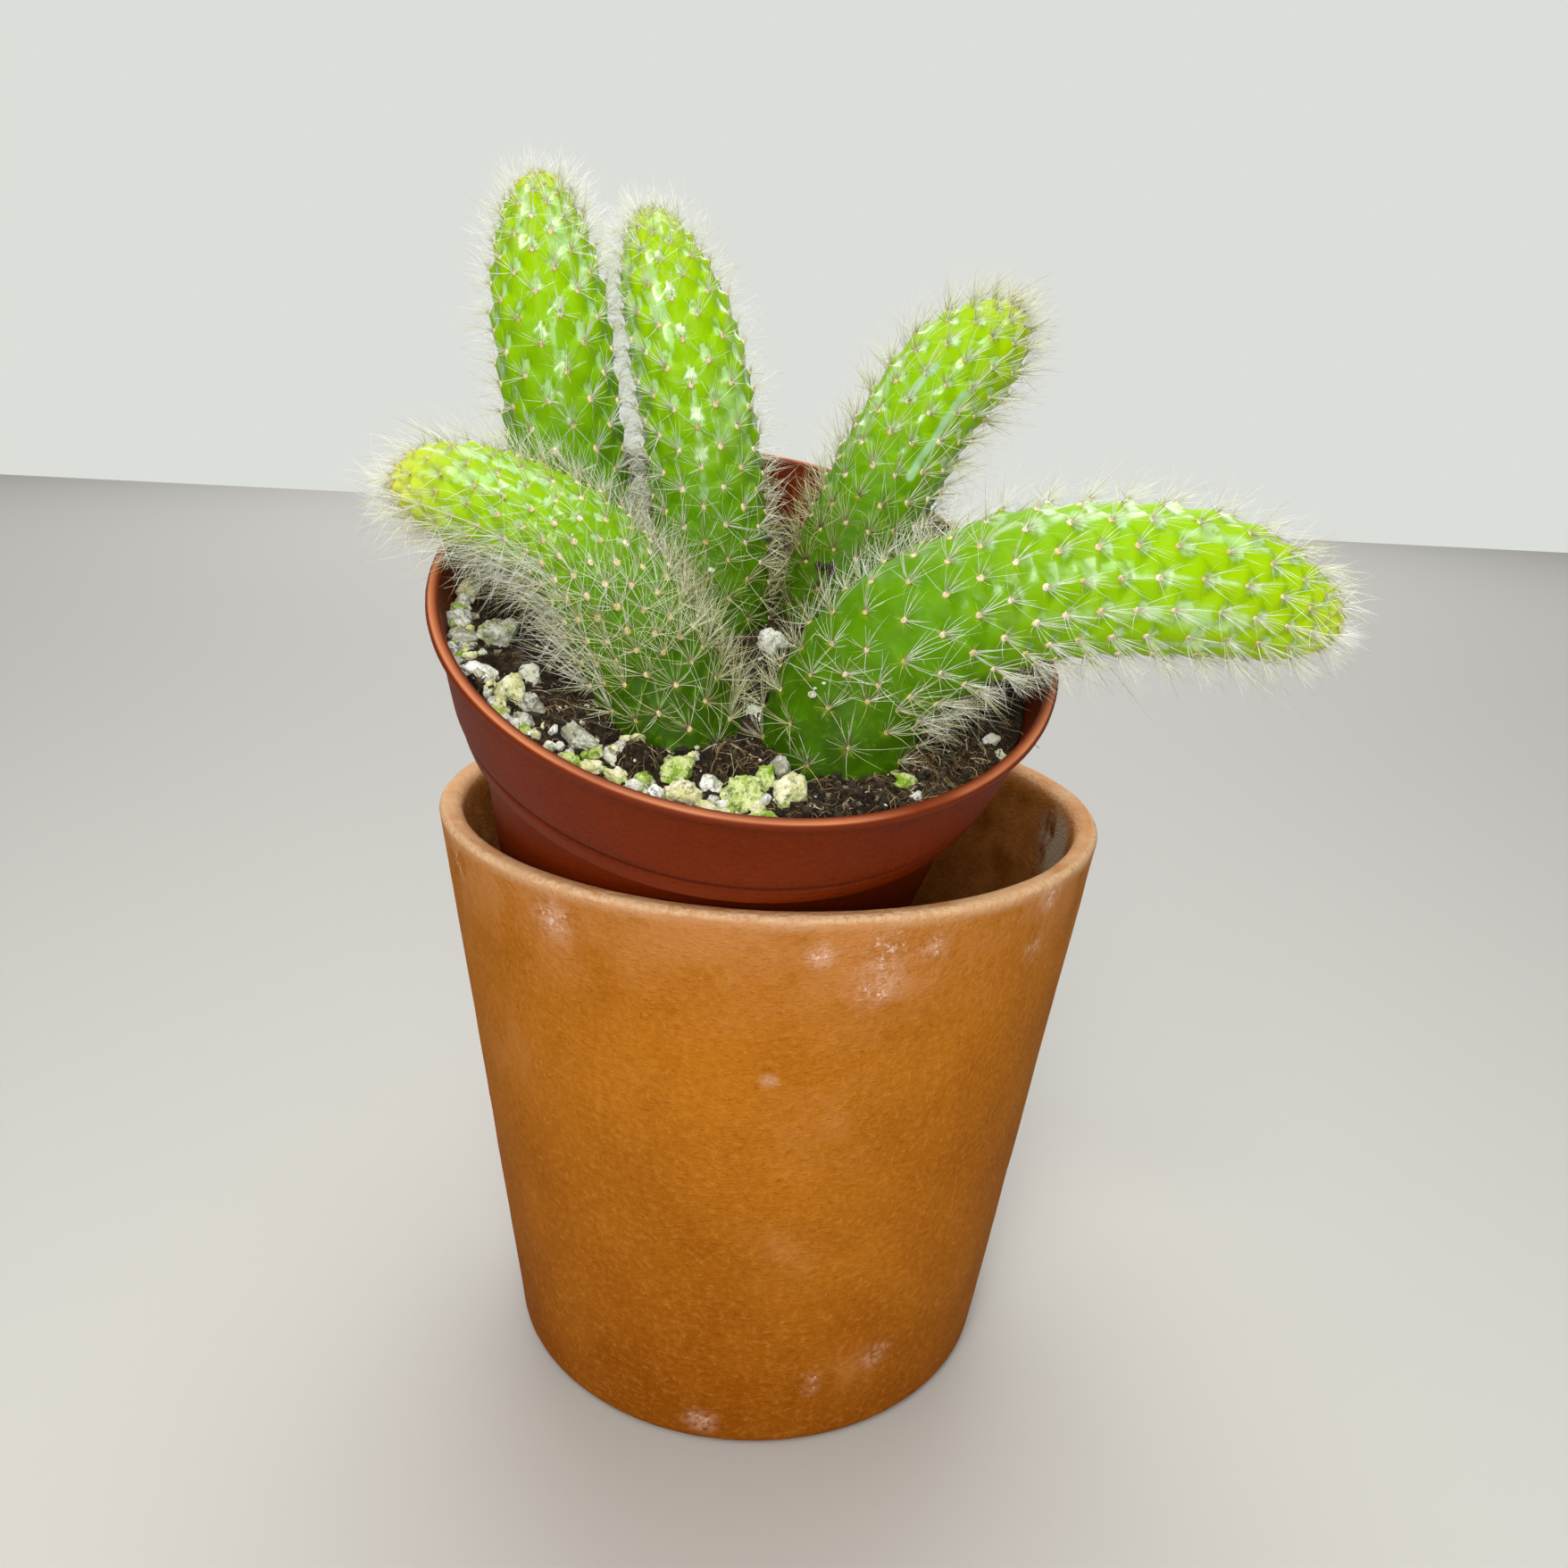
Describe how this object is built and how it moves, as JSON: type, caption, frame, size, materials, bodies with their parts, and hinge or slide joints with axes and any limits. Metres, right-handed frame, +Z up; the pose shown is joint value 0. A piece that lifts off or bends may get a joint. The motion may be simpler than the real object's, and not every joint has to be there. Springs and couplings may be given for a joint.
{
  "type": "potted monkey tail cactus",
  "caption": "Clump of thick, hairy green cactus stems in a plastic nursery pot of soil and pumice, which stands tilted inside a plain tapered clay pot.",
  "frame": {"origin": "centre of the clay pot's flat base, on the surface it stands on", "axes": "+Z up along the clay pot's axis; -Y towards the low side of the tilted nursery pot, which is the viewer's side; +X towards the tip of the long arching stem"},
  "size_m": [0.1733, 0.1475, 0.2413],
  "materials": {
    "clay": "matte",
    "nursery_plastic": "satin",
    "peat": "matte",
    "cactus_skin": "satin",
    "pumice_white": "matte",
    "pumice_cream": "matte",
    "pumice_grey": "matte",
    "pumice_green": "matte"
  },
  "bodies": {
    "root": {"nursery_pot": "nursery_plastic", "soil": "peat", "stem_back_left": "cactus_skin", "stem_back_middle": "cactus_skin", "stem_back_right": "cactus_skin", "stem_front_left": "cactus_skin", "stem_front_right": "cactus_skin", "stone_01_cream": "pumice_cream", "stone_02_white": "pumice_white", "stone_03_grey": "pumice_grey", "stone_04_grey": "pumice_grey", "stone_05_white": "pumice_white", "stone_06_white": "pumice_white", "stone_07_white": "pumice_white", "stone_08_cream": "pumice_cream", "stone_09_grey": "pumice_grey", "stone_10_grey": "pumice_grey", "stone_11_green": "pumice_green", "stone_12_grey": "pumice_grey", "stone_13_white": "pumice_white", "stone_14_grey": "pumice_grey", "stone_15_green": "pumice_green", "stone_16_cream": "pumice_cream", "stone_17_green": "pumice_green", "stone_18_cream": "pumice_cream", "stone_19_white": "pumice_white", "stone_20_green": "pumice_green", "stone_21_cream": "pumice_cream", "stone_22_white": "pumice_white", "stone_23_cream": "pumice_cream", "stone_24_white": "pumice_white", "stone_25_green": "pumice_green", "stone_26_green": "pumice_green", "stone_27_grey": "pumice_grey", "stone_28_cream": "pumice_cream", "stone_29_cream": "pumice_cream", "stone_30_cream": "pumice_cream", "stone_31_green": "pumice_green", "stone_32_white": "pumice_white", "stone_33_white": "pumice_white", "stone_34_green": "pumice_green", "stone_35_white": "pumice_white", "stone_36_white": "pumice_white", "stone_37_white": "pumice_white", "stone_38_cream": "pumice_cream", "stone_39_grey": "pumice_grey", "stone_40_white": "pumice_white", "stone_41_cream": "pumice_cream", "stone_42_grey": "pumice_grey", "stone_43_white": "pumice_white", "terracotta_pot": "clay"}
  },
  "joints": []
}
